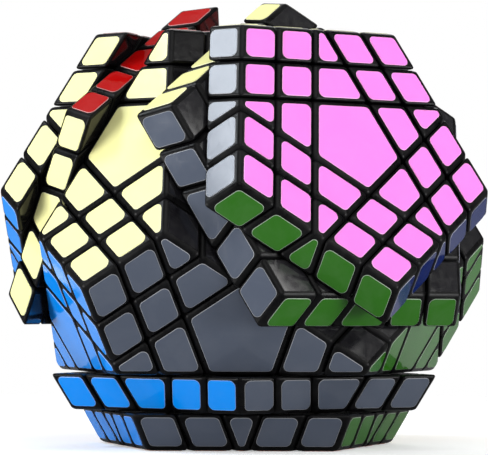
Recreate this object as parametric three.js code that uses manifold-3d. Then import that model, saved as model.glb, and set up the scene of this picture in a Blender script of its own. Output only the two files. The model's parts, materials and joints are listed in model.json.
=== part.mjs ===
// Dodecahedron twisty puzzle: twelve five-sided faces, each cut by two planes, so that an edge of a
// face is five pieces long. Every face can turn by its outer layer and by its second layer.
// Three faces that share no edge stand part-turned: their second layers are 36 degrees round.
// Millimetres, +Z up. The origin is the centre of the face that the puzzle stands on.
import * as THREE from 'three';
import { mergeVertices } from 'three/addons/utils/BufferGeometryUtils.js';
import Module from 'manifold-3d';

const wasm = await Module();
wasm.setup();

// Driving sizes
const halfWidth = 52; // centre of the puzzle to each of its faces
const cornerWidth = 10.95; // a corner piece along the edge of its face
const middleWidth = 2.85; // a middle edge piece along the edge of its face
const pieceGap = 0.5; // between neighbouring pieces
const footThickness = 2.2; // under the grooves, where the pieces of a group are joined
const trackDepth = 2.2; // dovetail tracks that the layers turn in
const trackNeck = 1.4; // width of a dovetail tongue where it leaves its piece
const trackFlare = 2.9; // width of the same tongue at its free end
const trackWall = 1.2; // between the outer track and the outside of the second layer
const slideGap = 0.4; // round a tongue in its track
const coreRadius = 12;
const armRadius = 4.2;
const armLength = 6.5; // from the core's ball to the end of an arm
const stalkRadius = 7;
const stalkBore = 5; // radius of the hollow that holds the screw's head and the spring
const capRoof = 2.6; // over that hollow
const seatThickness = 4.5; // under the spring, at the foot of a stalk
const screwRadius = 1.5;
const screwHoleGap = 0.35; // round the screw's shank
const headRadius = 4;
const headHeight = 2.4;
const screwTip = 8; // from the centre of the puzzle
const springLength = 12;
const springRadius = 3; // to the middle of the wire
const springWire = 0.45; // radius
const springTurns = 5;
const springPlay = 0.35; // between the spring, its seat and the screw's head
const halfSideTurn = THREE.MathUtils.degToRad(36); // half of the angle from one side of a face to the next
const trackSides = 24; // flats round a track
const boreSides = 10; // flats round a stalk or its bore

// What follows from them: the dodecahedron's own proportions, then the two cuts
const leanAngle = Math.atan(2); // between the normals of two faces that share an edge
const edgeLength = halfWidth * 2 * Math.tan(Math.PI / 5) * (Math.sqrt(5) - 1) / 2;
const cutAlongEdge = (width) => halfWidth - width * Math.sin(0.6 * Math.PI) * Math.sin(leanAngle);
const outerCut = cutAlongEdge(cornerWidth); // centre to the plane under an outer layer
const innerCut = cutAlongEdge((edgeLength - middleWidth) / 2); // and under a second layer
const halfGap = pieceGap / 2;
const footTop = outerCut + halfGap + footThickness;
const capFloor = footTop + pieceGap;
const armEnd = coreRadius + armLength;
const stalkEnd = armEnd + pieceGap;
const springSeat = stalkEnd + seatThickness;
const headSeat = springSeat + springLength + 2 * springPlay;
const cutStart = -halfWidth; // beyond the far side of any piece

// Half the width across the flats of the solid dodecahedron at a height above its centre
const apothemAt = (height) => (halfWidth - height * Math.cos(leanAngle)) / Math.sin(leanAngle);
const outerTrack = apothemAt(outerCut) - trackWall - slideGap - trackFlare / 2;
const innerTrack = (stalkRadius + apothemAt(innerCut)) / 2;

// The twelve faces. The turn is the angle round Z from the front, and up is the ring they are in.
function face(name, colour, turn = 0, up = 0) {
  const angle = THREE.MathUtils.degToRad(turn);
  const reach = up === 0 ? 0 : Math.sin(leanAngle);
  const rise = up === 0 ? 0 : up * Math.cos(leanAngle);
  const axis = new THREE.Vector3(reach * Math.sin(angle), -reach * Math.cos(angle), rise);
  return { name, colour, axis };
}
const bottom = face('bottom', 0xe8701c);
bottom.axis.set(0, 0, -1);
const top = face('top', 0xb02222);
top.axis.set(0, 0, 1);
const highRight = face('high_right', 0xf790e6, 36, 1);
const highBackLeft = face('high_back_left', 0x1f5f2e, -108, 1);
const faces = [
  bottom,
  top,
  face('low_front', 0x5a6068, 0, -1),
  face('low_right', 0x3a7a2c, 72, -1),
  face('low_back_right', 0xf2d21e, 144, -1),
  face('low_back_left', 0x5b2a86, -144, -1),
  face('low_left', 0x2090f0, -72, -1),
  highRight,
  face('high_back_right', 0x24408a, 108, 1),
  face('high_back', 0xf0f0f0, 180, 1),
  highBackLeft,
  face('high_left', 0xf6f3b0, -36, 1),
];
const turnedFaces = [bottom, highRight, highBackLeft];
const fixedFaces = faces.filter((one) => !turnedFaces.includes(one));
const sharesEdge = (one, other) => one !== other && one.axis.dot(other.axis) > 0.4;

// The faces round a face, in order round its axis
function neighboursOf(one) {
  const around = faces.filter((other) => sharesEdge(one, other));
  const side = around[0].axis.clone().projectOnPlane(one.axis).normalize();
  const across = one.axis.clone().cross(side);
  const angleOf = (other) => Math.atan2(other.axis.dot(across), other.axis.dot(side));
  return around.sort((a, b) => angleOf(a) - angleOf(b));
}

// A closed geometry as a solid that can be joined and cut
function solidOf(geometry) {
  geometry.deleteAttribute('normal');
  geometry.deleteAttribute('uv');
  const merged = mergeVertices(geometry, 1e-4);
  const index = Array.from(merged.index.array);
  const kept = [];
  for (let i = 0; i < index.length; i += 3) {
    const [a, b, c] = index.slice(i, i + 3);
    if (a !== b && b !== c && c !== a) kept.push(a, b, c);
  }
  const vertProperties = Float32Array.from(merged.attributes.position.array);
  return new wasm.Manifold(new wasm.Mesh({ numProp: 3, vertProperties, triVerts: Uint32Array.from(kept) }));
}

// The convex solid on the inner side of every plane in a list of { axis, limit }
function cellOf(planes) {
  const corners = [];
  const isInside = (point) => planes.every(({ axis, limit }) => axis.dot(point) < limit + 1e-5);
  const isNew = (point) => corners.every((corner) => corner.distanceTo(point) > 1e-4);
  for (let i = 0; i < planes.length; i++) {
    for (let j = i + 1; j < planes.length; j++) {
      for (let k = j + 1; k < planes.length; k++) {
        const [a, b, c] = [planes[i], planes[j], planes[k]];
        const bc = b.axis.clone().cross(c.axis);
        const volume = a.axis.dot(bc);
        if (Math.abs(volume) < 1e-6) continue;
        const point = bc.multiplyScalar(a.limit)
          .addScaledVector(c.axis.clone().cross(a.axis), b.limit)
          .addScaledVector(a.axis.clone().cross(b.axis), c.limit)
          .divideScalar(volume);
        if (isInside(point) && isNew(point)) corners.push(point);
      }
    }
  }
  const positions = [];
  for (const { axis, limit } of planes) {
    const ring = corners.filter((corner) => Math.abs(axis.dot(corner) - limit) < 1e-4);
    if (ring.length < 3) continue;
    const middle = new THREE.Vector3();
    for (const corner of ring) middle.addScaledVector(corner, 1 / ring.length);
    const side = ring[0].clone().sub(middle).normalize();
    const across = axis.clone().cross(side);
    const angleOf = (corner) => {
      const arm = corner.clone().sub(middle);
      return Math.atan2(arm.dot(across), arm.dot(side));
    };
    ring.sort((p, q) => angleOf(p) - angleOf(q));
    for (let i = 1; i + 1 < ring.length; i++) {
      for (const corner of [ring[0], ring[i], ring[i + 1]]) positions.push(corner.x, corner.y, corner.z);
    }
  }
  const geometry = new THREE.BufferGeometry();
  geometry.setAttribute('position', new THREE.Float32BufferAttribute(positions, 3));
  return solidOf(geometry);
}

// The part of the dodecahedron where each named face's distance lies in its own range
function region(ranges, outside = halfWidth) {
  const planes = [];
  for (const one of faces) {
    const [low, high] = ranges.get(one) ?? [cutStart, outside];
    planes.push({ axis: one.axis, limit: high });
    if (low > cutStart) planes.push({ axis: one.axis.clone().negate(), limit: -low });
  }
  return cellOf(planes);
}

// A geometry made round +Z, turned to stand along a face's axis
function alongAxis(geometry, one) {
  const upright = new THREE.Vector3(0, 0, 1);
  return geometry.applyQuaternion(new THREE.Quaternion().setFromUnitVectors(upright, one.axis));
}

// A rod on a face's axis, between two distances from the centre
function rod(one, radius, from, to, sides = boreSides) {
  const geometry = new THREE.CylinderGeometry(radius, radius, to - from, sides);
  geometry.rotateX(Math.PI / 2).translate(0, 0, (from + to) / 2);
  return solidOf(alongAxis(geometry, one));
}

// A dovetail ring on a face's axis, wider at its inner end. Its flats are set out so that the wall
// that another ring slides along never comes nearer than its nominal radius.
const flatsOutside = 1 / Math.cos(Math.PI / trackSides);
function trackRing(one, radius, from, to, neck, flare, innerShare, outerShare) {
  const profile = [
    new THREE.Vector2((radius - flare / 2) * innerShare, to),
    new THREE.Vector2((radius + flare / 2) * outerShare, to),
    new THREE.Vector2((radius + neck / 2) * outerShare, from),
    new THREE.Vector2((radius - neck / 2) * innerShare, from),
    new THREE.Vector2((radius - flare / 2) * innerShare, to),
  ];
  const geometry = new THREE.LatheGeometry(profile, trackSides);
  return solidOf(alongAxis(geometry.rotateX(Math.PI / 2), one));
}
function trackTongue(one, radius, cut) {
  const root = cut + halfGap + footThickness / 2;
  return trackRing(one, radius, root, cut - halfGap - trackDepth, trackNeck, trackFlare, flatsOutside, 1);
}
function trackGroove(one, radius, cut) {
  const room = 2 * slideGap;
  const mouth = cut + halfGap + footThickness / 2;
  const floor = cut - halfGap - trackDepth - slideGap;
  return trackRing(one, radius, mouth, floor, trackNeck + room, trackFlare + room, 1, flatsOutside);
}

const joinAll = (solids) => solids.reduce((sum, solid) => sum.add(solid));

// The grooves between pieces: thin plates on the cut planes, stopped where the pieces are joined.
// The pockets that hold centre caps stop at the same depth, and a plate widens each of their walls.
const joinedInside = region(new Map(), footTop);
function groovesOf(sides, cuts, capped = []) {
  const cutters = [];
  for (const one of sides) {
    for (const cut of cuts) {
      cutters.push(region(new Map([[one, [cut - halfGap, cut + halfGap]]]), halfWidth + 1));
    }
  }
  for (const one of capped) {
    const ranges = new Map([[one, [outerCut + halfGap, halfWidth + 1]]]);
    for (const side of neighboursOf(one)) ranges.set(side, [cutStart, innerCut]);
    cutters.push(region(ranges, halfWidth + 1));
  }
  return joinAll(cutters).subtract(joinedInside);
}

// A solid as a named mesh in the material of its kind
const blackPlastic = { color: 0x141416, roughness: 0.3, metalness: 0 };
const corePlastic = { color: 0x2c2d31, roughness: 0.55, metalness: 0 };
const steel = { color: 0xa8aab0, roughness: 0.35, metalness: 1 };
function meshOf(name, solid, look) {
  const { vertProperties, triVerts, numProp } = solid.getMesh();
  const positions = [];
  for (const vertex of triVerts) {
    for (let axis = 0; axis < 3; axis++) positions.push(vertProperties[vertex * numProp + axis]);
  }
  const geometry = new THREE.BufferGeometry();
  geometry.setAttribute('position', new THREE.Float32BufferAttribute(positions, 3));
  geometry.computeVertexNormals();
  const mesh = new THREE.Mesh(geometry, new THREE.MeshStandardMaterial(look));
  mesh.name = name;
  return mesh;
}

// The fixed centre of a face: its cap and the hollow stalk that turns on the core's arm
function centreCap(one) {
  const ranges = new Map([[one, [capFloor, halfWidth]]]);
  for (const side of neighboursOf(one)) ranges.set(side, [cutStart, innerCut - halfGap]);
  const solid = region(ranges)
    .add(rod(one, stalkRadius, stalkEnd, capFloor + 1))
    .subtract(rod(one, stalkBore, springSeat, halfWidth - capRoof))
    .subtract(rod(one, screwRadius + screwHoleGap, stalkEnd - 1, springSeat + 1));
  return meshOf(`${one.name}_centre_cap`, solid, { color: one.colour, roughness: 0.3, metalness: 0 });
}
const stalkHole = (one) => rod(one, stalkRadius + pieceGap, stalkEnd - 2, halfWidth);

// The ten pieces round a centre cap, joined by the foot plate that the cap holds down
function centreRing(one) {
  const sides = neighboursOf(one);
  const ranges = new Map([[one, [outerCut + halfGap, halfWidth]]]);
  for (const side of sides) ranges.set(side, [cutStart, outerCut - halfGap]);
  const solid = region(ranges)
    .subtract(groovesOf(sides, [innerCut], [one]))
    .subtract(stalkHole(one));
  return meshOf(`${one.name}_centre_ring`, solid, blackPlastic);
}

// A piece on the rim of an outer layer: its block, and its share of the tongue in the track below
function rimPiece(one, name, ranges, grooves) {
  ranges.set(one, [outerCut + halfGap, halfWidth]);
  const block = grooves ? region(ranges).subtract(grooves) : region(ranges);
  ranges.set(one, [innerCut, outerCut + halfGap + footThickness / 2]);
  const tongue = region(ranges).intersect(trackTongue(one, outerTrack, outerCut));
  return meshOf(name, block.add(tongue), blackPlastic);
}
function rimPieces(one) {
  const sides = neighboursOf(one);
  const outerRange = [outerCut + halfGap, halfWidth];
  const innerRange = [cutStart, outerCut - halfGap];
  return sides.flatMap((side, i) => {
    const next = sides[(i + 1) % sides.length];
    const previous = sides[(i + sides.length - 1) % sides.length];
    const corner = new Map([[side, outerRange], [next, outerRange]]);
    const edge = new Map([[side, outerRange], [next, innerRange], [previous, innerRange]]);
    return [
      rimPiece(one, `${one.name}_corner_${i + 1}`, corner),
      rimPiece(one, `${one.name}_edge_${i + 1}`, edge, groovesOf([next, previous], [innerCut])),
    ];
  });
}

// A second layer: twenty pieces joined at their feet, half a side round from its rest place
function secondLayer(one) {
  const solid = region(new Map([[one, [innerCut + halfGap, outerCut - halfGap]]]))
    .subtract(groovesOf(neighboursOf(one), [outerCut, innerCut]))
    .subtract(trackGroove(one, outerTrack, outerCut))
    .add(trackTongue(one, innerTrack, innerCut))
    .subtract(stalkHole(one));
  const mesh = meshOf(`${one.name}_second_layer`, solid, blackPlastic);
  mesh.setRotationFromAxisAngle(one.axis, -halfSideTurn);
  return mesh;
}

// Everything outside the turned layers, joined at the feet, with the room that the others need
function frameOfPieces() {
  const inside = turnedFaces.map((one) => [one, [cutStart, innerCut - halfGap]]);
  let solid = region(new Map(inside)).subtract(groovesOf(fixedFaces, [outerCut, innerCut], fixedFaces));
  for (const one of turnedFaces) solid = solid.subtract(trackGroove(one, innerTrack, innerCut));
  for (const one of faces) solid = solid.subtract(stalkHole(one));
  return meshOf('frame_of_fixed_pieces', solid.subtract(region(new Map(), stalkEnd)), blackPlastic);
}

// The core: a ball with twelve arms, each bored for its screw
function core() {
  const ball = solidOf(new THREE.IcosahedronGeometry(coreRadius, 1));
  const arms = joinAll(faces.map((one) => rod(one, armRadius, coreRadius / 2, armEnd, 8)));
  const holeRadius = screwRadius + screwHoleGap;
  const holes = joinAll(faces.map((one) => rod(one, holeRadius, screwTip - 1, armEnd + 1, 6)));
  return meshOf('core', ball.add(arms).subtract(holes), corePlastic);
}

function screw(one) {
  const head = rod(one, headRadius, headSeat, headSeat + headHeight);
  const shank = rod(one, screwRadius, screwTip, headSeat + headHeight / 2, 6);
  return meshOf(`${one.name}_screw`, head.add(shank), steel);
}

// The coil spring between a screw's head and the foot of the stalk
class Helix extends THREE.Curve {
  getPoint(t, target = new THREE.Vector3()) {
    const angle = 2 * Math.PI * springTurns * t;
    const rise = springSeat + springPlay + springWire + t * (springLength - 2 * springWire);
    return target.set(springRadius * Math.cos(angle), springRadius * Math.sin(angle), rise);
  }
}
function spring(one) {
  const wire = new THREE.Shape();
  const wireSides = 4;
  for (let i = 0; i < wireSides; i++) {
    const angle = 2 * Math.PI * i / wireSides;
    const point = [springWire * Math.cos(angle), springWire * Math.sin(angle)];
    if (i === 0) wire.moveTo(...point);
    else wire.lineTo(...point);
  }
  const geometry = new THREE.ExtrudeGeometry(wire, { steps: 8 * springTurns, extrudePath: new Helix() });
  return meshOf(`${one.name}_spring`, solidOf(alongAxis(geometry, one)), steel);
}

const group = new THREE.Group();
const puzzle = new THREE.Group();
puzzle.position.z = halfWidth;
group.add(puzzle);
puzzle.add(core(), frameOfPieces());
for (const one of faces) puzzle.add(centreCap(one));
for (const one of turnedFaces) {
  puzzle.add(centreRing(one), ...rimPieces(one), secondLayer(one), screw(one), spring(one));
}

export default group;
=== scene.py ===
# Dodecahedron twisty puzzle: the looks of its pieces, stickers and inner parts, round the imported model
import itertools
import json
import math

import bmesh
import bpy
import numpy as np
from mathutils import Matrix, Quaternion, Vector


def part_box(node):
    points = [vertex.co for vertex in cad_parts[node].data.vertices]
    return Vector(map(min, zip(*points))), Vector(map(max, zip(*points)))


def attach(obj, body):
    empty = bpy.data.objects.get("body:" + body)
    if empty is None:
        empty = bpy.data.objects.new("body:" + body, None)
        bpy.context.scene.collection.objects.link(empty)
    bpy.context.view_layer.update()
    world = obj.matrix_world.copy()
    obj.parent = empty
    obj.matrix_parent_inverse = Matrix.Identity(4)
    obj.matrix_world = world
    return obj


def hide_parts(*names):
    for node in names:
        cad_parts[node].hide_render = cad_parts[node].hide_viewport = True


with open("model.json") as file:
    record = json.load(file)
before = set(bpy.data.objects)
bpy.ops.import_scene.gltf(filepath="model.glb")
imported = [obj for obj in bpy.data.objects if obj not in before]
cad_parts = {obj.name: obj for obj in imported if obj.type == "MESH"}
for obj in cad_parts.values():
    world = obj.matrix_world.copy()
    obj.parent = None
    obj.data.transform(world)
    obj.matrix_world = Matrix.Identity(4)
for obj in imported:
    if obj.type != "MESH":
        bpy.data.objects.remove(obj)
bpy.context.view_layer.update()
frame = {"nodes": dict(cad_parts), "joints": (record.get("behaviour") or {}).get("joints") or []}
mm = 0.001

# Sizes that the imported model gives: the centre, the faces and the two cuts
centre = Vector(frame["joints"][0]["pos_m"])
halfWidth = centre.z
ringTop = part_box("bottom_centre_ring")[1].z
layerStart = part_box("bottom_second_layer")[0].z
outerCut = halfWidth - (ringTop + layerStart) / 2
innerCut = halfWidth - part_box("frame_of_fixed_pieces")[0].z + (layerStart - ringTop) / 2
leanAngle = math.atan(2)  # between the normals of two faces that share an edge
outerTurns = [joint["name"] for joint in frame["joints"] if "_outer_turn" in joint["name"]]
turnedFaces = [name[: -len("_outer_turn")] for name in outerTurns]
print("frame: half width %.1f mm, cuts at %.1f and %.1f mm" % (halfWidth / mm, outerCut / mm, innerCut / mm))

# Where each face is (degrees round Z from the front, ring) and the colour of its stickers
faceSpots = {
    "bottom": (0, "bottom", "orange"),
    "top": (0, "top", "red"),
    "low_front": (0, "low", "grey"),
    "low_right": (72, "low", "green"),
    "low_back_right": (144, "low", "bright_yellow"),
    "low_back_left": (-144, "low", "purple"),
    "low_left": (-72, "low", "light_blue"),
    "high_right": (36, "high", "pink"),
    "high_back_right": (108, "high", "navy"),
    "high_back": (180, "high", "white"),
    "high_back_left": (-108, "high", "dark_green"),
    "high_left": (-36, "high", "pale_yellow"),
}


def faceAxis(turn, ring):
    rise = {"top": 1, "high": math.cos(leanAngle), "low": -math.cos(leanAngle), "bottom": -1}[ring]
    reach = math.sqrt(1 - rise * rise)
    return Vector((reach * math.sin(math.radians(turn)), -reach * math.cos(math.radians(turn)), rise))


faceAxes = {name: faceAxis(turn, ring) for name, (turn, ring, colour) in faceSpots.items()}
faceColours = {name: colour for name, (turn, ring, colour) in faceSpots.items()}


def sharesEdge(one, other):
    return one != other and faceAxes[one].dot(faceAxes[other]) > 0.4


# How far each layer stands from its solved place, in degrees about its face's outward axis
layerTwists = {face + "_second_layer": -36 for face in turnedFaces}
layerTwists["high_right_outer_layer"] = -72


def bodyOf(levels):
    for face in turnedFaces:
        if face in levels:
            return face + {1: "_outer_layer", 2: "_second_layer"}[levels[face]]
    return "root"


def placeOf(body):
    twist = Matrix.Identity(4)
    if body in layerTwists:
        axis = next(faceAxes[face] for face in turnedFaces if body.startswith(face))
        twist = Matrix.Rotation(math.radians(layerTwists[body]), 4, axis)
    return Matrix.Translation(centre) @ twist


def addNode(tree, kind, place, inputs=None, **settings):
    node = tree.nodes.new(kind)
    node.location = place
    for name, value in settings.items():
        setattr(node, name, value)
    for name, value in (inputs or {}).items():
        node.inputs[name].default_value = value
    return node


def mixColours(tree, place, factor, first, second):
    node = addNode(tree, "ShaderNodeMix", place, data_type="RGBA")
    for socket, value in ((node.inputs[0], factor), (node.inputs[6], first), (node.inputs[7], second)):
        if hasattr(value, "links"):
            tree.links.new(value, socket)
        else:
            socket.default_value = value
    return node.outputs[2]


def doMath(tree, place, operation, first, second=None, third=None):
    node = addNode(tree, "ShaderNodeMath", place, operation=operation)
    for socket, value in zip(node.inputs, (first, second, third)):
        if hasattr(value, "links"):
            tree.links.new(value, socket)
        elif value is not None:
            socket.default_value = value
    return node.outputs[0]


def newGroup(name, inputs, outputs):
    tree = bpy.data.node_groups.new(name, "ShaderNodeTree")
    for socketName, value in inputs.items():
        socket = tree.interface.new_socket(socketName, in_out="INPUT", socket_type="NodeSocketFloat")
        socket.default_value = value
    for socketName in outputs:
        tree.interface.new_socket(socketName, in_out="OUTPUT", socket_type="NodeSocketFloat")
    return tree, addNode(tree, "NodeGroupInput", (-900, 0)), addNode(tree, "NodeGroupOutput", (700, 0))


def mouldedSkinGroup():
    # Fine orange peel with a slower waviness under it, as a moulded or calendered skin has
    tree, given, made = newGroup("mouldedSkin", {"Grain Size": 0.4, "Wave Share": 0.5}, ["Height"])
    spot = addNode(tree, "ShaderNodeTexCoord", (-900, -300))
    scale = doMath(tree, (-700, 0), "DIVIDE", 1000, given.outputs["Grain Size"])
    grain = addNode(tree, "ShaderNodeTexNoise", (-400, 100), {"Detail": 2.0, "Roughness": 0.5})
    wave = addNode(tree, "ShaderNodeTexNoise", (-400, -200), {"Detail": 1.0, "Roughness": 0.4})
    tree.links.new(spot.outputs["Object"], grain.inputs["Vector"])
    tree.links.new(spot.outputs["Object"], wave.inputs["Vector"])
    tree.links.new(scale, grain.inputs["Scale"])
    tree.links.new(doMath(tree, (-550, -200), "MULTIPLY", scale, 0.12), wave.inputs["Scale"])
    waves = doMath(tree, (0, -200), "MULTIPLY", wave.outputs[0], given.outputs["Wave Share"])
    tree.links.new(doMath(tree, (300, 0), "ADD", grain.outputs[0], waves), made.inputs["Height"])
    return tree


def handlingGroup():
    # Smudges from fingers and a net of hair-thin scratches: both change the gloss, and scratches the height
    tree, given, made = newGroup("handling", {"Smudge Size": 9.0, "Scratch Size": 3.5}, ["Smudge", "Scratch"])
    spot = addNode(tree, "ShaderNodeTexCoord", (-900, -300))
    smudge = addNode(tree, "ShaderNodeTexNoise", (-400, 250),
        {"Detail": 3.0, "Roughness": 0.6, "Distortion": 0.6})
    tree.links.new(spot.outputs["Object"], smudge.inputs["Vector"])
    tree.links.new(doMath(tree, (-700, 250), "DIVIDE", 1000, given.outputs["Smudge Size"]),
        smudge.inputs["Scale"])
    soft = addNode(tree, "ShaderNodeMapRange", (0, 250), {"From Min": 0.42, "From Max": 0.68})
    tree.links.new(smudge.outputs[0], soft.inputs["Value"])
    tree.links.new(soft.outputs[0], made.inputs["Smudge"])
    scratchScale = doMath(tree, (-700, -100), "DIVIDE", 1000, given.outputs["Scratch Size"])
    lines = []
    for i, stretch in enumerate(((1, 9, 0.6), (7, 0.8, 1), (0.7, 1.1, 8))):
        stretched = addNode(tree, "ShaderNodeMapping", (-600, -200 - 200 * i), {"Scale": stretch})
        stretched.inputs["Rotation"].default_value = (0.5 * i, 0.3 + 0.4 * i, 0.8 * i)
        streak = addNode(tree, "ShaderNodeTexNoise", (-350, -200 - 200 * i),
            {"Detail": 1.0, "Roughness": 0.7})
        tree.links.new(spot.outputs["Object"], stretched.inputs["Vector"])
        tree.links.new(stretched.outputs[0], streak.inputs["Vector"])
        tree.links.new(scratchScale, streak.inputs["Scale"])
        thin = addNode(tree, "ShaderNodeMapRange", (-100, -200 - 200 * i),
            {"From Min": 0.66, "From Max": 0.72})
        tree.links.new(streak.outputs[0], thin.inputs["Value"])
        lines.append(thin.outputs[0])
    both = doMath(tree, (150, -300), "MAXIMUM", lines[0], lines[1])
    tree.links.new(doMath(tree, (350, -300), "MAXIMUM", both, lines[2]), made.inputs["Scratch"])
    return tree


def edgeWearGroup():
    # Where edges have been rubbed: convex places, broken up by noise
    tree, given, made = newGroup("edgeWear", {"Width": 0.06, "Patch Size": 2.0}, ["Wear"])
    spot = addNode(tree, "ShaderNodeTexCoord", (-900, -300))
    shape = addNode(tree, "ShaderNodeNewGeometry", (-900, 300))
    convex = doMath(tree, (-600, 300), "SUBTRACT", shape.outputs["Pointiness"], 0.5)
    edge = doMath(tree, (-400, 300), "DIVIDE", convex, given.outputs["Width"])
    patch = addNode(tree, "ShaderNodeTexNoise", (-400, 0), {"Detail": 4.0, "Roughness": 0.65})
    tree.links.new(spot.outputs["Object"], patch.inputs["Vector"])
    tree.links.new(doMath(tree, (-600, 0), "DIVIDE", 1000, given.outputs["Patch Size"]),
        patch.inputs["Scale"])
    broken = addNode(tree, "ShaderNodeMapRange", (-100, 0), {"From Min": 0.4, "From Max": 0.7})
    tree.links.new(patch.outputs[0], broken.inputs["Value"])
    worn = addNode(tree, "ShaderNodeMath", (200, 100), operation="MULTIPLY", use_clamp=True)
    tree.links.new(edge, worn.inputs[0])
    tree.links.new(broken.outputs[0], worn.inputs[1])
    tree.links.new(worn.outputs[0], made.inputs["Wear"])
    return tree


groups = {"skin": mouldedSkinGroup(), "handling": handlingGroup(), "wear": edgeWearGroup()}


def placeGroup(tree, name, place, inputs):
    node = addNode(tree, "ShaderNodeGroup", place, node_tree=groups[name])
    for socket, value in inputs.items():
        node.inputs[socket].default_value = value
    return node


def newMaterial(name, look):
    # look: colour, wornColour, roughness, smudge, scratch, grain, grainDepth,
    # and optional metallic, specular, coat
    material = bpy.data.materials.new(name)
    material.use_nodes = True
    tree = material.node_tree
    shader = tree.nodes["Principled BSDF"]
    shader.inputs["Metallic"].default_value = look.get("metallic", 0.0)
    shader.inputs["Specular IOR Level"].default_value = look.get("specular", 0.5)
    shader.inputs["Coat Weight"].default_value = look.get("coat", 0.0)
    shader.inputs["Coat Roughness"].default_value = look.get("coatRoughness", 0.05)
    handling = placeGroup(tree, "handling", (-900, 200), look.get("marks", {}))
    wear = placeGroup(tree, "wear", (-900, 500), look.get("rub", {}))
    skin = placeGroup(tree, "skin", (-900, -200), {"Grain Size": look["grain"]})
    worn = doMath(tree, (-600, 500), "MULTIPLY", wear.outputs["Wear"], look.get("wear", 0.5))
    colour = mixColours(tree, (-400, 500), worn, look["colour"], look["wornColour"])
    shade = doMath(tree, (-600, 350), "MULTIPLY", handling.outputs["Smudge"], look.get("tone", 0.05))
    toned = mixColours(tree, (-200, 450), shade, colour, look.get("toneColour", (1, 1, 1, 1)))
    tree.links.new(toned, shader.inputs["Base Color"])
    smudged = doMath(tree, (-600, 200), "MULTIPLY_ADD", handling.outputs["Smudge"], look["smudge"],
        look["roughness"])
    scratched = doMath(tree, (-400, 200), "MULTIPLY_ADD", handling.outputs["Scratch"],
        look["scratch"], smudged)
    rubbed = doMath(tree, (-200, 200), "MULTIPLY_ADD", worn, look.get("wornRoughness", 0.2), scratched)
    tree.links.new(rubbed, shader.inputs["Roughness"])
    groove = doMath(tree, (-600, -100), "MULTIPLY", handling.outputs["Scratch"],
        -look.get("scratchDepth", 0.3))
    height = doMath(tree, (-400, -100), "ADD", skin.outputs["Height"], groove)
    bump = addNode(tree, "ShaderNodeBump", (-200, -100),
        {"Strength": 1.0, "Distance": look["grainDepth"] * mm})
    tree.links.new(height, bump.inputs["Height"])
    tree.links.new(bump.outputs["Normal"], shader.inputs["Normal"])
    return material


def grey(value):
    return (value, value, value, 1)


plasticLooks = {
    "pieceBlack": {
        "colour": (0.0018, 0.0017, 0.0021, 1), "wornColour": grey(0.01), "roughness": 0.26, "smudge": 0.1,
        "scratch": 0.15, "grain": 0.5, "grainDepth": 0.004, "tone": 0.004, "wear": 0.5, "specular": 0.1,
    },
    # Cut faces: the same black plastic as the pieces and really glossier, but with a lighter base colour that
    # paints the sheen of reflected light on these flats
    "cutFaceBlack": {
        "colour": (0.008, 0.0076, 0.0095, 1), "wornColour": grey(0.03), "roughness": 0.09, "smudge": 0.02,
        "scratch": 0.05, "grain": 0.9, "grainDepth": 0.001, "tone": 0.002, "wear": 0.5, "specular": 0.6,
    },
    "coreNylon": {
        "colour": (0.03, 0.031, 0.036, 1), "wornColour": grey(0.12), "roughness": 0.5, "smudge": 0.15,
        "scratch": 0.1, "grain": 0.25, "grainDepth": 0.02, "wear": 0.8,
    },
    "plainSteel": {
        "colour": (0.56, 0.57, 0.6, 1), "wornColour": grey(0.75), "roughness": 0.24, "smudge": 0.2,
        "scratch": 0.2, "grain": 0.2, "grainDepth": 0.006, "metallic": 1.0, "toneColour": grey(0.2),
        "tone": 0.3,
    },
}
plastics = {name: newMaterial(name, look) for name, look in plasticLooks.items()}

# Vinyl of each colour, in linear light, with its gloss and its paler cut edge
stickerLook = {
    "roughness": 0.065, "smudge": 0.05, "scratch": 0.06, "grain": 1.2, "grainDepth": 0.002,
    "scratchDepth": 0.06, "tone": 0.012, "wear": 0.0, "rimPaleness": 0.55, "specular": 0.3,
}
stickerColours = {
    "orange": (0.88, 0.15, 0.006),
    "red": (0.42, 0.001, 0.001),
    "grey": (0.08, 0.095, 0.13),
    "green": (0.022, 0.135, 0.006),
    "bright_yellow": (0.87, 0.66, 0.01),
    "purple": (0.15, 0.03, 0.34),
    "light_blue": (0.001, 0.3, 1),
    "pink": (0.86, 0.215, 0.68),
    "navy": (0.003, 0.013, 0.1),
    "white": (0.82, 0.83, 0.85),
    "dark_green": (0.008, 0.09, 0.022),
    "pale_yellow": (0.9, 0.88, 0.4),
}


def stickerMaterials(name, colour):
    look = dict(stickerLook, colour=(*colour, 1), wornColour=(*colour, 1))
    paler = [value + (1 - value) * stickerLook["rimPaleness"] * 0.5 for value in colour]
    rim = dict(look, colour=(*paler, 1), wornColour=(*paler, 1), roughness=0.35)
    return [newMaterial("vinyl_" + name, look), newMaterial("vinylEdge_" + name, rim)]


vinyls = {name: stickerMaterials(name, colour) for name, colour in stickerColours.items()}
print("materials: %d" % len(bpy.data.materials))


pieceSizes = {  # millimetres
    "gap": 0.3,  # between neighbouring pieces
    "edgeRadius": 1.0,
    "edgeSteps": 3,
    "footThickness": 2.2,  # of the plate that joins the pieces round a centre cap
}
stickerSizes = {  # millimetres
    "inset": 1.15,  # from a cut to the edge of a sticker
    "edgeInset": 1.35,  # from an edge of the puzzle to the edge of a sticker
    "cornerRadius": 1.35,
    "cornerSteps": 5,
    "thickness": 0.14,
    "rim": 0.1,  # width of the rounded-off top edge
}
clearance = pieceSizes["gap"] / 2 * mm
plasticTop = halfWidth - stickerSizes["thickness"] * mm


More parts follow.
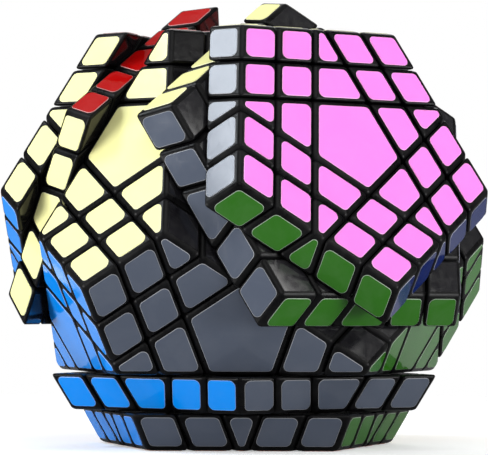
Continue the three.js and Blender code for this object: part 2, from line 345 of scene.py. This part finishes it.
def cellPlanes(levels, clear=clearance, surface=plasticTop, own=None):
    # A piece lies between planes: level 1 is a face's outer layer, 2 its second layer, 3 below both
    planes = []
    for face, axis in faceAxes.items():
        level = levels.get(face, 3)
        top = {1: surface, 2: outerCut - clear, 3: innerCut - clear}[level]
        planes.append((axis, halfWidth if face == own else top))
        if level < 3:
            planes.append((-axis, -clear - {1: outerCut, 2: innerCut}[level]))
    return planes


def sidesOf(planes):
    # Corners of the convex solid inside every plane, and the ring of corners on each plane
    tolerance = 1e-7
    axes = np.array([axis[:] for axis, limit in planes])
    limits = np.array([limit for axis, limit in planes])
    triples = np.array(list(itertools.combinations(range(len(planes)), 3)))
    triples = triples[np.abs(np.linalg.det(axes[triples])) > 1e-4]
    points = np.linalg.solve(axes[triples], limits[triples][..., None])[..., 0]
    points = points[(points @ axes.T < limits + tolerance).all(axis=1)]
    corners = []
    for point in points:
        if all(np.linalg.norm(point - corner) > 10 * tolerance for corner in corners):
            corners.append(point)
    corners = np.array(corners)
    rings = {}
    for i, axis in enumerate(axes):
        ring = np.flatnonzero(np.abs(corners @ axis - limits[i]) < 10 * tolerance)
        if len(ring) < 3:
            continue
        arms = corners[ring] - corners[ring].mean(axis=0)
        across = np.cross(axis, arms[0])
        rings[i] = ring[np.argsort(np.arctan2(arms @ across, arms @ arms[0]))]
    return corners, rings


def addSolid(mesh, planes, place, radius, steps, flatMaterial=0, outerSides=()):
    # A convex solid with rounded edges, joined into mesh; sides not on outerSides take the cut-face material,
    # whose lighter base colour is painted sheen
    corners, rings = sidesOf(planes)
    solid = bmesh.new()
    points = [solid.verts.new(corner) for corner in corners]
    for ring in rings.values():
        solid.faces.new([points[i] for i in ring])
    bmesh.ops.bevel(
        solid, geom=solid.edges[:], offset=radius, offset_type="OFFSET", segments=steps, profile=0.5,
        affect="EDGES", clamp_overlap=True,
    )
    solid.normal_update()
    cutAxes = [planes[i][0] for i in rings if i not in outerSides]
    for side in solid.faces:
        side.smooth = True
        if any(side.normal.dot(axis) > 0.9999 for axis in cutAxes):
            side.material_index = flatMaterial
    joined = bpy.data.meshes.new("joined")
    solid.to_mesh(joined)
    solid.free()
    joined.transform(place)
    mesh.from_mesh(joined)
    bpy.data.meshes.remove(joined)


def addPiece(mesh, levels, floor=None):
    planes = cellPlanes(levels)
    outer = [i for i, (axis, limit) in enumerate(planes) if abs(limit - plasticTop) < 1e-9]
    if floor:
        face, height = floor
        planes.append((-faceAxes[face], -height))
    addSolid(mesh, planes, placeOf(bodyOf(levels)), pieceSizes["edgeRadius"] * mm,
        pieceSizes["edgeSteps"], 1, outer)


def roundedOutline(corners, axis, radius):
    # A convex outline with its corners rounded; short sides take a smaller radius
    steps = stickerSizes["cornerSteps"]
    outline = []
    for i, corner in enumerate(corners):
        before = corners[i - 1] - corner
        after = corners[(i + 1) % len(corners)] - corner
        half = before.angle(after) / 2
        bend = min(radius, 0.46 * min(before.length, after.length) * math.tan(half))
        middle = corner + (before.normalized() + after.normalized()).normalized() * bend / math.sin(half)
        start = corner + before.normalized() * bend / math.tan(half) - middle
        for k in range(steps + 1):
            sweep = (math.pi - 2 * half) * k / steps
            outline.append(middle + Matrix.Rotation(sweep, 3, axis) @ start)
    return outline


def stickerOutline(levels, face, extra, depth):
    across = math.sin(leanAngle) * mm
    inset = (stickerSizes["inset"] + extra) * across
    surface = halfWidth - (stickerSizes["edgeInset"] + extra) * across
    planes = cellPlanes(levels, inset, surface, own=face)
    corners, rings = sidesOf(planes)
    own = next(i for i, (axis, limit) in enumerate(planes) if limit == halfWidth)
    ring = [Vector(corners[i]) for i in rings[own]]
    outline = roundedOutline(ring, faceAxes[face], (stickerSizes["cornerRadius"] - extra) * mm)
    return [point - faceAxes[face] * depth * mm for point in outline]


def addSticker(mesh, levels, face):
    place = placeOf(bodyOf(levels))
    rim = stickerSizes["rim"]
    outlines = [
        stickerOutline(levels, face, 0, stickerSizes["thickness"] + 0.02),
        stickerOutline(levels, face, 0, rim * 0.6),
        stickerOutline(levels, face, rim, 0),
    ]
    rings = [[mesh.verts.new(place @ point) for point in outline] for outline in outlines]
    mesh.faces.new(reversed(rings[0]))
    mesh.faces.new(rings[2])
    for lower, upper in zip(rings, rings[1:]):
        for i in range(len(lower)):
            side = mesh.faces.new((lower[i - 1], lower[i], upper[i], upper[i - 1]))
            side.material_index = 1


def makeObject(name, body, mesh, materials, weighted=True):
    data = bpy.data.meshes.new(name)
    mesh.to_mesh(data)
    mesh.free()
    for material in materials:
        data.materials.append(material)
    piece = bpy.data.objects.new(name, data)
    bpy.context.scene.collection.objects.link(piece)
    if weighted:
        piece.modifiers.new("evenShading", "WEIGHTED_NORMAL").keep_sharp = True
    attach(piece, body)
    return piece


def allPieces():
    # Each visible piece as its level in every layer that it is part of
    found = []
    for face in faceAxes:
        around = [other for other in faceAxes if sharesEdge(face, other)]
        found.append({face: 1})
        for one in around:
            found += [{face: 1, one: 2}, {face: 1, one: 1}]
        for one, other in itertools.permutations(around, 2):
            if sharesEdge(one, other):
                found += [{face: 1, one: 1, other: 2}, {face: 1, one: 1, other: 1},
                    {face: 1, one: 2, other: 2}]
    unique = {tuple(sorted(levels.items())): levels for levels in found}
    return [unique[key] for key in sorted(unique)]


pieceFinish = [plastics["pieceBlack"], plastics["cutFaceBlack"]]


def nodeNear(point, names):
    # The CAD node whose box lies nearest to a point
    def distance(name):
        low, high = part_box(name)
        return ((low + high) / 2 - point).length
    return min(names, key=distance)


def middleOf(levels):
    corners, rings = sidesOf(cellPlanes(levels))
    return placeOf(bodyOf(levels)) @ Vector(corners.mean(axis=0))


def groupOf(levels):
    # The object that a piece is part of, and the CAD node that the object stands for
    body = bodyOf(levels)
    outerFaces = [face for face, level in levels.items() if level == 1]
    if body.endswith("_outer_layer"):
        face = body[: -len("_outer_layer")]
        sides = [other for other in outerFaces if other != face]
        if len(levels) == 1:
            return face + "_cap_piece", face + "_centre_cap"
        if not sides:
            return face + "_ring_pieces", face + "_centre_ring"
        kind = "corner" if len(sides) == 2 else "edge"
        if kind == "corner":
            spot = middleOf(levels)
        else:
            spot = middleOf({face: 1, sides[0]: 1})
        names = ["%s_%s_%d" % (face, kind, i + 1) for i in range(5)]
        node = nodeNear(spot, names)
        return "%s_%s_pieces_%s" % (face, kind, node[-1]), node
    if body.endswith("_second_layer"):
        face = body[: -len("_second_layer")]
        sides = sorted(outerFaces)
        return "%s_second_pieces_%s" % (face, sides[0]), body
    if len(levels) == 1:
        return outerFaces[0] + "_cap_piece", outerFaces[0] + "_centre_cap"
    if len(outerFaces) == 3:
        return "corner_piece_" + "_".join(sorted(outerFaces)), "frame_of_fixed_pieces"
    if len(outerFaces) == 2:
        return "edge_pieces_" + "_".join(sorted(outerFaces)), "frame_of_fixed_pieces"
    return "face_pieces_" + outerFaces[0], "frame_of_fixed_pieces"


stalkSizes = {
    "radius": 7.0,
    "bore": 5.0,
    "seatThickness": 4.5,
    "seatHole": 1.85,
    "rise": 4.0,  # how far a stalk reaches into its cap, from the outer cut
    "gap": 0.5,
    "sides": 40,
}
stalkEnd = (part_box("top_centre_cap")[0] - centre).z
coreRadius = 12 * mm


def placeAlong(face):
    return Matrix.Translation(centre) @ faceAxes[face].to_track_quat("Z", "Y").to_matrix().to_4x4()


def addTurned(mesh, profile, place, sides):
    # A closed profile of radius and height, turned round the Z axis of place
    rings = []
    for radius, height in profile:
        spots = [2 * math.pi * i / sides for i in range(sides)]
        points = [Vector((radius * math.cos(spot), radius * math.sin(spot), height)) for spot in spots]
        rings.append([mesh.verts.new(place @ point) for point in points])
    made = []
    for ring, following in zip(rings, rings[1:] + rings[:1]):
        for i in range(sides):
            side = mesh.faces.new((ring[i - 1], ring[i], following[i], following[i - 1]))
            side.smooth = True
            made.append(side)
        for i in range(sides):
            mesh.edges.get((ring[i - 1], ring[i])).smooth = False
    bmesh.ops.recalc_face_normals(mesh, faces=made)


def addStalk(mesh, face):
    inside, outside = stalkSizes["bore"] * mm, stalkSizes["radius"] * mm
    hole, seat = stalkSizes["seatHole"] * mm, stalkEnd + stalkSizes["seatThickness"] * mm
    top = outerCut + stalkSizes["rise"] * mm
    profile = [(inside, top), (outside, top), (outside, stalkEnd), (hole, stalkEnd), (hole, seat),
        (inside, seat)]
    addTurned(mesh, profile, placeAlong(face), stalkSizes["sides"])


def boreOut(mesh, faces, ball):
    # Takes the room of the stalks of some faces, and the core's if ball is set, out of a solid
    tools = bmesh.new()
    reach = (stalkSizes["radius"] + stalkSizes["gap"]) * mm
    for face in faces:
        bmesh.ops.create_cone(
            tools, cap_ends=True, segments=stalkSizes["sides"], radius1=reach, radius2=reach, depth=halfWidth,
            matrix=placeAlong(face) @ Matrix.Translation((0, 0, halfWidth / 2)),
        )
    if ball:
        reach = coreRadius + stalkSizes["gap"] * mm
        bmesh.ops.create_icosphere(tools, subdivisions=4, radius=reach, matrix=Matrix.Translation(centre))
    bodies = []
    for name, part in (("solid", mesh), ("tools", tools)):
        data = bpy.data.meshes.new(name)
        part.to_mesh(data)
        part.free()
        bodies.append(bpy.data.objects.new(name, data))
        bpy.context.scene.collection.objects.link(bodies[-1])
    cut = bodies[0].modifiers.new("bores", "BOOLEAN")
    cut.operation = "DIFFERENCE"
    cut.solver = "EXACT"
    cut.use_self = True
    cut.object = bodies[1]
    result = bpy.data.meshes.new_from_object(bodies[0].evaluated_get(bpy.context.evaluated_depsgraph_get()))
    bored = bmesh.new()
    bored.from_mesh(result)
    bpy.data.meshes.remove(result)
    for body in bodies:
        data = body.data
        bpy.data.objects.remove(body)
        bpy.data.meshes.remove(data)
    return bored


def buildPieces():
    footTop = outerCut + clearance + pieceSizes["footThickness"] * mm
    meshes, facts = {}, {}
    for levels in allPieces():
        name, node = groupOf(levels)
        body = bodyOf(levels)
        if name not in meshes:
            meshes[name] = bmesh.new()
            facts[name] = (body, node)
        floor = None
        if body.endswith("_outer_layer"):
            face = body[: -len("_outer_layer")]
            if len(levels) == 1:
                floor = (face, footTop + 2 * clearance)
            elif name.endswith("_ring_pieces"):
                floor = (face, footTop)
        addPiece(meshes[name], levels, floor)
        if len(levels) == 1:
            addStalk(meshes[name], next(iter(levels)))
    for face in turnedFaces:  # the plate under a cap that joins the ring round it
        planes = [(axis, outerCut - clearance) for axis in faceAxes.values()]
        planes += [(-faceAxes[face], -outerCut - clearance)]
        planes[list(faceAxes).index(face)] = (faceAxes[face], footTop)
        addSolid(meshes[face + "_ring_pieces"], planes, placeOf(face + "_outer_layer"), 0.3 * mm, 2, 1)
    for name, mesh in meshes.items():
        body, node = facts[name]
        piece = makeObject(name, body, mesh, pieceFinish)
        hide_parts(node)
    print("pieces: %d objects" % len(meshes))


def buildStickers():
    meshes = {}
    for levels in allPieces():
        body = bodyOf(levels)
        for face in [face for face, level in levels.items() if level == 1]:
            key = (body, faceColours[face])
            if key not in meshes:
                meshes[key] = bmesh.new()
            addSticker(meshes[key], levels, face)
    for (body, colour), mesh in meshes.items():
        makeObject("stickers_%s_%s" % (body, colour), body, mesh, vinyls[colour], False)
    print("stickers: %d objects" % len(meshes))


def buildFeet():
    # The feet of the pieces of each body, as one block under them with room for the stalks and the core
    blocks = {"inner_feet": ("root", {})}
    for face in turnedFaces:
        blocks[face + "_second_feet"] = (face + "_second_layer", {face: 2})
    for name, (body, levels) in blocks.items():
        planes = []
        for face, axis in faceAxes.items():
            level = levels.get(face, 1)
            if body == "root" and face in turnedFaces:
                level = 3
            limits = {1: outerCut + clearance, 2: outerCut - clearance, 3: innerCut - clearance}
            planes.append((axis, limits[level]))
            if level == 2:
                planes.append((-axis, -innerCut - clearance))
        mesh = bmesh.new()
        addSolid(mesh, planes, placeOf(body), 0.5 * mm, 2, 1)
        mesh = boreOut(mesh, levels or faceAxes, not levels)
        makeObject(name, body, mesh, pieceFinish)
    print("feet: %d blocks" % len(blocks))


def buildFasteners():
    # The same screw and spring in each centre that has none among the solids
    kinds = {"screw": "screw_steel", "spring": "spring_steel"}
    faces = [face for face in faceAxes if face not in turnedFaces]
    onBottom = placeAlong("bottom").inverted()
    for kind, slot in kinds.items():
        node = frame["nodes"]["bottom_" + kind]
        for face in faces:
            mesh = bmesh.new()
            mesh.from_mesh(node.data)
            mesh.transform(placeAlong(face) @ onBottom @ node.matrix_world)
            makeObject("%s_%s_inside" % (face, kind), "root", mesh, [plastics["plainSteel"]], False)
    print("fasteners: %d objects" % (len(kinds) * len(faces)))


buildPieces()
buildStickers()
buildFeet()
buildFasteners()

for name, node in frame["nodes"].items():
    if name == "core":
        node.data.materials.clear()
        node.data.materials.append(plastics["coreNylon"])
    elif name.endswith("_screw") or name.endswith("_spring"):
        node.data.materials.clear()
        node.data.materials.append(plastics["plainSteel"])


viewSettings = {
    "distance": 757.0,  # millimetres from the centre of the puzzle
    "azimuth": 1.41,
    "elevation": -1.17,
    "lens": 218.8,
    "aimUp": 3.46,  # millimetres from the centre of the puzzle to the middle of the picture
    "aimRight": -0.4,
    "roll": 0.17,
}


def buildCamera():
    turn = math.radians(viewSettings["azimuth"])
    rise = math.radians(viewSettings["elevation"])
    back = Vector((math.sin(turn) * math.cos(rise), -math.cos(turn) * math.cos(rise), math.sin(rise)))
    camera = bpy.data.objects.new("camera", bpy.data.cameras.new("camera"))
    camera.data.lens = viewSettings["lens"]
    camera.data.sensor_width = 36
    camera.location = centre + back * viewSettings["distance"] * mm
    aim = centre + Vector((viewSettings["aimRight"], 0, viewSettings["aimUp"])) * mm
    facing = (aim - camera.location).to_track_quat("-Z", "Y").to_matrix()
    camera.rotation_euler = (facing @ Matrix.Rotation(math.radians(viewSettings["roll"]), 3, "Z")).to_euler()
    bpy.context.scene.collection.objects.link(camera)
    bpy.context.scene.camera = camera


studioLook = {
    "floorColour": (0.82, 0.82, 0.83, 1),
    "floorBounce": (0.42, 0.42, 0.43, 1),  # the colour that the puzzle sees
    "floorGlow": 0.4,  # seen by the camera alone
    "floorRadius": 2.0,  # metres
    "floorFade": (0.16, 0.42),  # the floor melts into the backdrop between these distances, metres
    "roomLight": 0.16,
    "backdrop": 1.0,
    "worldColour": (1.0, 1.0, 1.0, 1),
}
softBoxes = {  # direction from the puzzle, distance, width, height in metres, turn in degrees, watts, colour
    "leftBox": ((-0.666, -0.084, 0.741), 1.2, 0.3, 0.46, 50, 7.0, (0.89, 0.95, 1.0)),
    "rightBox": ((0.8, -0.35, 0.62), 1.3, 0.5, 0.5, 0, 4.0, (1.0, 0.99, 0.97)),
    "frontFill": ((0.12, -1.0, 0.42), 1.8, 1.0, 0.8, 0, 6.0, (1.0, 1.0, 1.0)),
    "lowLeftFill": ((-1.0, -0.45, -0.05), 1.5, 0.9, 0.6, 0, 24.0, (1.0, 1.0, 1.0)),
    "lowRightFill": ((1.0, -0.45, -0.05), 1.5, 0.9, 0.6, 0, 22.0, (1.0, 1.0, 1.0)),
    "topBox": ((0.15, -0.45, 1.0), 1.5, 0.9, 0.9, 0, 6.0, (1.0, 1.0, 1.0)),
    "backFill": ((0.1, 1.0, 0.75), 1.8, 1.0, 0.8, 0, 7.0, (1.0, 1.0, 1.0)),
}


def buildStudio():
    mesh = bmesh.new()
    bmesh.ops.create_circle(mesh, cap_ends=True, radius=studioLook["floorRadius"], segments=96)
    data = bpy.data.meshes.new("floor")
    mesh.to_mesh(data)
    mesh.free()
    floor = bpy.data.objects.new("floor", data)
    bpy.context.scene.collection.objects.link(floor)
    material = bpy.data.materials.new("paleFloor")
    material.use_nodes = True
    tree = material.node_tree
    shader = tree.nodes["Principled BSDF"]
    seen = addNode(tree, "ShaderNodeLightPath", (-800, 200))
    cameraRay = seen.outputs["Is Camera Ray"]
    tint = mixColours(tree, (-400, 200), cameraRay, studioLook["floorBounce"], studioLook["floorColour"])
    tree.links.new(tint, shader.inputs["Base Color"])
    shader.inputs["Roughness"].default_value = 0.7
    shader.inputs["Emission Color"].default_value = grey(1)
    glow = addNode(tree, "ShaderNodeMapRange", (-400, 0), {"To Max": studioLook["floorGlow"]})
    tree.links.new(cameraRay, glow.inputs["Value"])
    tree.links.new(glow.outputs[0], shader.inputs["Emission Strength"])
    spot = addNode(tree, "ShaderNodeTexCoord", (-800, -200))
    away = addNode(tree, "ShaderNodeVectorMath", (-600, -200))
    away.operation = "LENGTH"
    near, far = studioLook["floorFade"]
    fade = addNode(tree, "ShaderNodeMapRange", (-400, -200),
        {"From Min": near, "From Max": far, "To Min": 1.0})
    fade.inputs["To Max"].default_value = 0.0
    tree.links.new(spot.outputs["Object"], away.inputs[0])
    tree.links.new(away.outputs["Value"], fade.inputs["Value"])
    tree.links.new(fade.outputs[0], shader.inputs["Alpha"])
    data.materials.append(material)
    world = bpy.data.worlds.new("studio")
    world.use_nodes = True
    back = world.node_tree.nodes["Background"]
    back.inputs["Color"].default_value = studioLook["worldColour"]
    tree = world.node_tree
    seen = addNode(tree, "ShaderNodeLightPath", (-400, 0))
    strength = addNode(tree, "ShaderNodeMapRange", (-200, 0), {"To Min": studioLook["roomLight"]})
    strength.inputs["To Max"].default_value = studioLook["backdrop"]
    tree.links.new(seen.outputs["Is Camera Ray"], strength.inputs["Value"])
    tree.links.new(strength.outputs[0], back.inputs["Strength"])
    bpy.context.scene.world = world
    for name, (direction, distance, width, height, turn, power, colour) in softBoxes.items():
        light = bpy.data.lights.new(name, "AREA")
        light.shape = "RECTANGLE"
        light.size = width
        light.size_y = height
        light.energy = power
        light.color = colour
        box = bpy.data.objects.new(name, light)
        box.location = centre + Vector(direction).normalized() * distance
        facing = (centre - box.location).to_track_quat("-Z", "Y")
        box.rotation_euler = (facing @ Quaternion((0, 0, 1), math.radians(turn))).to_euler()
        bpy.context.scene.collection.objects.link(box)
    bpy.context.scene.view_settings.view_transform = "Standard"


buildCamera()
buildStudio()
print("studio: camera and %d lights" % len(softBoxes))
